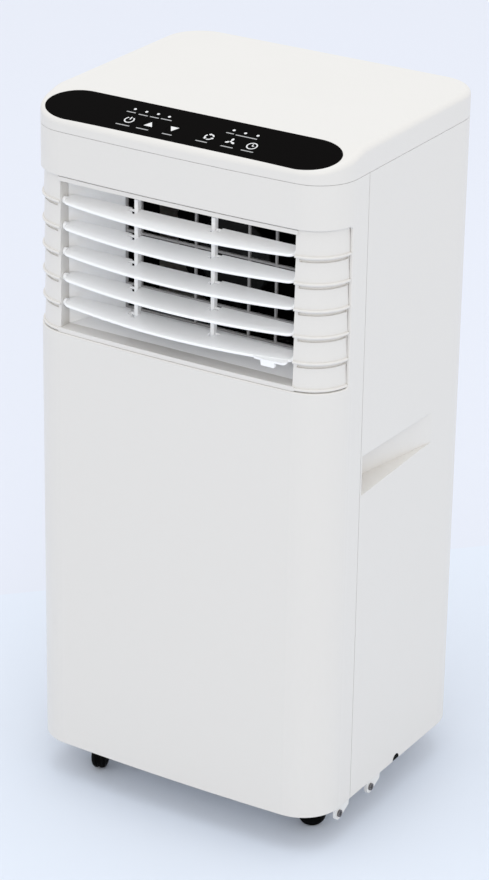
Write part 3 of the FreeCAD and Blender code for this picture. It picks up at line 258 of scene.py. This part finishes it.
def fan_blade(ca, cb, at):
    """An ellipse whose long axis points out from the hub."""
    t = math.radians(at)
    out, across = Vector((math.cos(t), math.sin(t))), Vector((-math.sin(t), math.cos(t)))
    middle = Vector((ca, cb)) + out * FAN_REACH
    return [tuple(middle + out * FAN_LONG * math.cos(k) + across * FAN_WIDE * math.sin(k))
            for k in full_turn(24)]


def print_piece(name, polygons, body, finish=INK):
    """Thin printed shapes on the panel plane, riding with one body."""
    bm = bmesh.new()
    for polygon in polygons:
        area = sum(p[0] * q[1] - q[0] * p[1] for p, q in zip(polygon, polygon[1:] + polygon[:1]))
        loop = polygon if area > 0 else polygon[::-1]
        low = [bm.verts.new((a, b, PRINT_LOW)) for a, b in loop]
        top = [bm.verts.new((a, b, PRINT_TOP)) for a, b in loop]
        bm.faces.new(top)
        bm.faces.new(low[::-1])
        for i in range(len(loop)):
            j = (i + 1) % len(loop)
            bm.faces.new((low[i], low[j], top[j], top[i]))
    bm.transform(PANEL)
    mesh = bpy.data.meshes.new(name)
    bm.to_mesh(mesh)
    bm.free()
    mesh.materials.append(finish.mat)
    piece = bpy.data.objects.new(name, mesh)
    bpy.context.scene.collection.objects.link(piece)
    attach(piece, body)


def power_icon(a, b):
    stem = bar(a - STEM_HALF, a + STEM_HALF, b + STEM_LOW, b + STEM_TOP)
    return arc(a, b, RING_R, RING_WIDTH, RING_FROM, RING_TO) + [stem]


def up_icon(a, b):
    return [[(a - ARROW_HALF, b - ARROW_RISE), (a + ARROW_HALF, b - ARROW_RISE), (a, b + ARROW_RISE)]]


def down_icon(a, b):
    return [[(a - ARROW_HALF, b + ARROW_RISE), (a, b - ARROW_RISE), (a + ARROW_HALF, b + ARROW_RISE)]]


def mode_icon(a, b):
    """Three arrows that chase each other round a ring."""
    shapes = []
    for start in (20, 140, 260):
        end = start + CYCLE_SWEEP
        shapes += arc(a, b, CYCLE_R, CYCLE_WIDTH, start, end, 16)
        shapes.append(arrow_head(a, b, CYCLE_R, end, CYCLE_HEAD))
    return shapes


def fan_icon(a, b):
    return [disc(a, b, FAN_HUB_R, 20)] + [fan_blade(a, b, at) for at in (90, 210, 330)]


def timer_icon(a, b):
    hands = [stroke((a, b), (a, b + HAND_UP), HAND_WIDTH), stroke((a, b), (a + HAND_RIGHT, b), HAND_WIDTH)]
    return arc(a, b, CLOCK_R, CLOCK_WIDTH, 0, 360) + hands


ICONS = {"power": power_icon, "up": up_icon, "down": down_icon,
         "mode": mode_icon, "fan": fan_icon, "timer": timer_icon}
for button, across in BUTTONS.items():
    print_piece(f"icon_{button}", ICONS[button](across, BUTTON_ROW), f"{button}_button")
print_piece("lamp_dots", [disc(a, b, LAMP_R, 24) for a, b in LAMPS], "cabinet")
legend_bars = [bar(left, right, b - LEGEND_HALF, b + LEGEND_HALF) for left, right, b in LEGENDS]
print_piece("legend_bars", legend_bars, "cabinet", DIM_INK)


# ---------------------------------------------------------------- stage and light
# Two tones of backdrop, met along a straight line on the floor behind the cabinet.
FLOOR_TONE, FAR_TONE = (0.75, 0.80, 0.89), (0.76, 0.785, 0.865)
TONE_LINE = Vector((-0.367, 0.099, 0.0)), Vector((-0.018, 0.465, 0.0))
FLOOR_REACH = 9.0
FLOOR_ROUGH, FLOOR_SPECULAR = 0.75, 0.1
SKY_STRENGTH = 0.98
LIGHTS = {      # place, what it points at, side of the square, watts, colour
    "overhead": ((0.3, -0.6, 6.0), (0.0, 0.0, 0.3), 4.0, 60, (0.74, 0.88, 1.0)),
    "fill": ((2.7, -3.45, 2.5), (0.0, 0.0, 0.35), 1.6, 23, (1.0, 0.925, 0.81)),
}


def backdrop_plane(name, side, tone):
    start, end = TONE_LINE
    along = (end - start).normalized() * FLOOR_REACH
    away = Vector((-along.y, along.x, 0)) * side
    corners = [start - along, start + along, start + along + away, start - along + away]
    if side < 0:
        corners.reverse()
    mesh = bpy.data.meshes.new(name)
    mesh.from_pydata([tuple(corner) for corner in corners], [], [(0, 1, 2, 3)])
    mesh.materials.append(Finish(name, tone, FLOOR_ROUGH, FLOOR_SPECULAR).mat)
    plane = bpy.data.objects.new(name, mesh)
    bpy.context.scene.collection.objects.link(plane)


def add_light(name, place, target, size, watts, colour):
    data = bpy.data.lights.new(name, "AREA")
    data.shape = "RECTANGLE"
    data.size = data.size_y = size
    data.energy = watts
    data.color = colour
    light = bpy.data.objects.new(name, data)
    turn = (Vector(target) - Vector(place)).to_track_quat("-Z", "Y").to_matrix().to_4x4()
    light.matrix_world = Matrix.Translation(place) @ turn
    bpy.context.scene.collection.objects.link(light)


backdrop_plane("floor_near", -1, FLOOR_TONE)
backdrop_plane("floor_far", 1, FAR_TONE)
world = bpy.data.worlds.new("studio")
world.use_nodes = True
background = world.node_tree.nodes["Background"]
background.inputs["Color"].default_value = (1.0, 1.0, 1.0, 1)
background.inputs["Strength"].default_value = SKY_STRENGTH
bpy.context.scene.world = world
for light_name, settings in LIGHTS.items():
    add_light(light_name, *settings)
